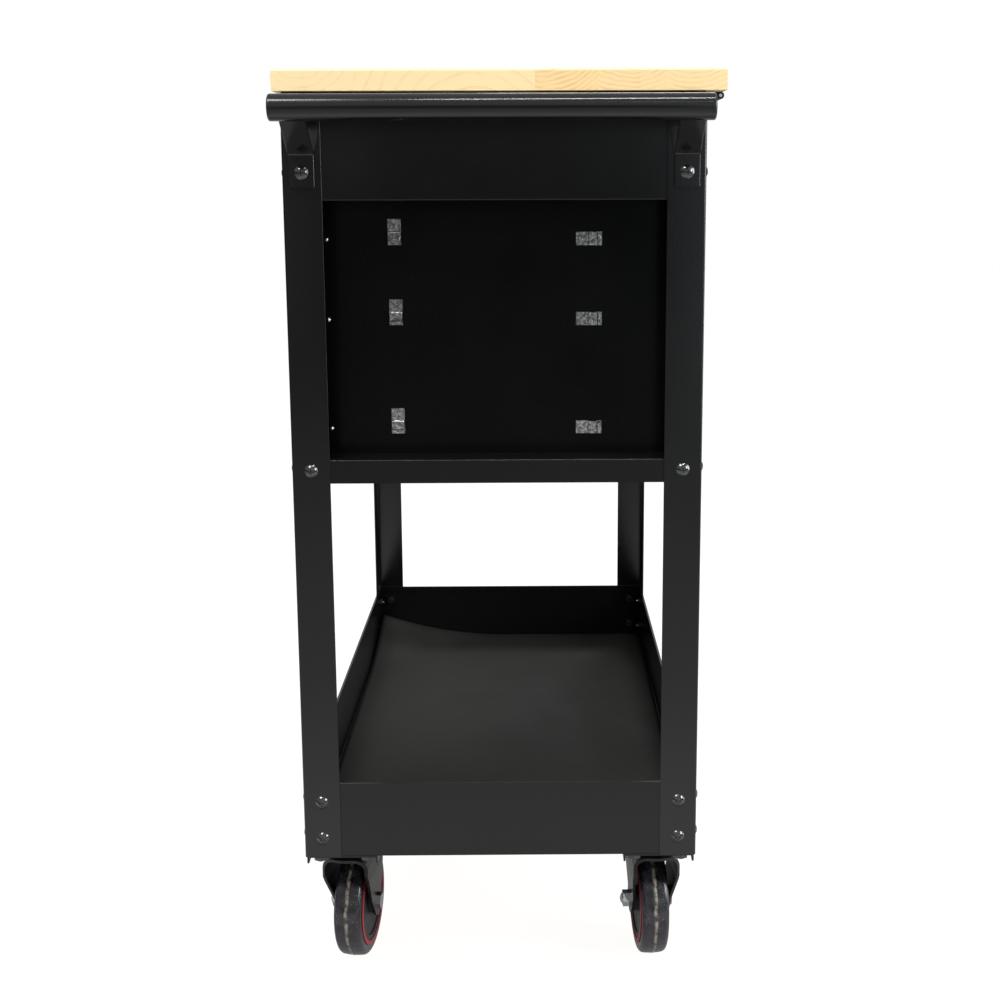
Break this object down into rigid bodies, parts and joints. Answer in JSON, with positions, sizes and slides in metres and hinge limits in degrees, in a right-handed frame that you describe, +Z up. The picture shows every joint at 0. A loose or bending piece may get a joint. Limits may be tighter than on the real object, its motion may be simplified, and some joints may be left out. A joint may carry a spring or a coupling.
{
  "type": "tool cart",
  "caption": "Wheeled steel tool cart: open lower tray with rubber mat, sliding drawers, hinged wooden top over a deep tray, push handle and swivel and rigid casters.",
  "frame": {"origin": "on the floor, under the middle of the whole cart with its handle and lid", "axes": "+Z up, +X towards the push handle, -Y towards the drawer fronts"},
  "size_m": [0.8626, 0.4338, 0.957],
  "materials": {
    "frame_paint": "satin",
    "panel_paint": "gloss",
    "rubber_mat": "matte",
    "black_screws": "gloss",
    "caster_paint": "satin",
    "zinc": "satin",
    "drawer_paint": "satin",
    "wood": "satin",
    "black_hinge": "satin",
    "handle_paint": "gloss",
    "cap_plastic": "gloss",
    "tread": "matte",
    "red_stripe": "matte",
    "hub_plastic": "satin"
  },
  "bodies": {
    "cart": {"back_panel": "panel_paint", "bottom_mat": "rubber_mat", "bottom_tray": "frame_paint", "caster_channels": "frame_paint", "caster_kingpins": "zinc", "caster_studs": "zinc", "end_panel_far": "panel_paint", "end_panel_handle": "panel_paint", "frame_nuts": "zinc", "frame_screws": "black_screws", "handle_bracket_front": "handle_paint", "handle_bracket_rear": "handle_paint", "handle_end_caps": "cap_plastic", "handle_tube": "handle_paint", "hinge_fixed_leaf": "black_hinge", "hinge_pin": "black_hinge", "leg_far_front": "frame_paint", "leg_far_rear": "frame_paint", "leg_handle_front": "frame_paint", "leg_handle_rear": "frame_paint", "middle_shelf": "frame_paint", "rigid_axles": "zinc", "rigid_forks": "caster_paint", "slide_outer_rails": "zinc", "slide_screws": "zinc", "swivel_plates": "caster_paint", "top_tray": "frame_paint"},
    "drawer_top": {"drawer_box_top": "drawer_paint", "drawer_front_top": "drawer_paint", "drawer_pull_top": "drawer_paint", "slide_inner_rails_top": "zinc"},
    "slide_middle_top": {"slide_middle_rails_top": "zinc"},
    "drawer_middle": {"drawer_box_middle": "drawer_paint", "drawer_front_middle": "drawer_paint", "drawer_pull_middle": "drawer_paint", "slide_inner_rails_middle": "zinc"},
    "slide_middle_middle": {"slide_middle_rails_middle": "zinc"},
    "drawer_bottom": {"drawer_box_bottom": "drawer_paint", "drawer_front_bottom": "drawer_paint", "drawer_pull_bottom": "drawer_paint", "slide_inner_rails_bottom": "zinc"},
    "slide_middle_bottom": {"slide_middle_rails_bottom": "zinc"},
    "lid": {"wood_top": "wood", "hinge_moving_leaf": "black_hinge"},
    "caster_front": {"caster_fork_front": "caster_paint", "caster_axle_front": "zinc"},
    "wheel_handle_front": {"tyre_handle_front": "tread", "stripe_ring_handle_front": "red_stripe", "wheel_hub_handle_front": "hub_plastic"},
    "wheel_far_front": {"tyre_far_front": "tread", "stripe_ring_far_front": "red_stripe", "wheel_hub_far_front": "hub_plastic"},
    "caster_rear": {"caster_fork_rear": "caster_paint", "caster_axle_rear": "zinc"},
    "wheel_handle_rear": {"tyre_handle_rear": "tread", "stripe_ring_handle_rear": "red_stripe", "wheel_hub_handle_rear": "hub_plastic"},
    "wheel_far_rear": {"tyre_far_rear": "tread", "stripe_ring_far_rear": "red_stripe", "wheel_hub_far_rear": "hub_plastic"}
  },
  "joints": [
    {"name": "drawer_top_slide", "type": "slide", "parent": "cart", "child": "drawer_top", "axis": [0, -1, 0], "range_m": [0, 0.33]},
    {"name": "slide_middle_top_slide", "type": "slide", "parent": "cart", "child": "slide_middle_top", "axis": [0, -1, 0], "range_m": [0, 0.165]},
    {"name": "drawer_middle_slide", "type": "slide", "parent": "cart", "child": "drawer_middle", "axis": [0, -1, 0], "range_m": [0, 0.33]},
    {"name": "slide_middle_middle_slide", "type": "slide", "parent": "cart", "child": "slide_middle_middle", "axis": [0, -1, 0], "range_m": [0, 0.165]},
    {"name": "drawer_bottom_slide", "type": "slide", "parent": "cart", "child": "drawer_bottom", "axis": [0, -1, 0], "range_m": [0, 0.33]},
    {"name": "slide_middle_bottom_slide", "type": "slide", "parent": "cart", "child": "slide_middle_bottom", "axis": [0, -1, 0], "range_m": [0, 0.165]},
    {"name": "lid_hinge", "type": "hinge", "parent": "cart", "child": "lid", "pos_m": [-0.03125, 0.2137, 0.9335], "axis": [-1, 0, 0], "range_deg": [0, 90]},
    {"name": "caster_front_swivel", "type": "hinge", "parent": "cart", "child": "caster_front", "pos_m": [0.30175, -0.1721, 0.145], "axis": [0, 0, 1], "continuous": true},
    {"name": "wheel_handle_front_roll", "type": "hinge", "parent": "caster_front", "child": "wheel_handle_front", "pos_m": [0.26412, -0.16681, 0.06], "axis": [0.1392, 0.9903, 0], "continuous": true},
    {"name": "wheel_far_front_roll", "type": "hinge", "parent": "cart", "child": "wheel_far_front", "pos_m": [-0.36425, -0.1721, 0.06], "axis": [0, 1, 0], "continuous": true},
    {"name": "caster_rear_swivel", "type": "hinge", "parent": "cart", "child": "caster_rear", "pos_m": [0.30175, 0.1609, 0.145], "axis": [0, 0, 1], "continuous": true},
    {"name": "wheel_handle_rear_roll", "type": "hinge", "parent": "caster_rear", "child": "wheel_handle_rear", "pos_m": [0.26384, 0.15825, 0.06], "axis": [-0.0698, 0.9976, 0], "continuous": true},
    {"name": "wheel_far_rear_roll", "type": "hinge", "parent": "cart", "child": "wheel_far_rear", "pos_m": [-0.36425, 0.1609, 0.06], "axis": [0, 1, 0], "continuous": true}
  ],
  "couplings": [
    {"joint": "slide_middle_top_slide", "follows": "drawer_top_slide", "ratio": 0.5},
    {"joint": "slide_middle_middle_slide", "follows": "drawer_middle_slide", "ratio": 0.5},
    {"joint": "slide_middle_bottom_slide", "follows": "drawer_bottom_slide", "ratio": 0.5}
  ]
}
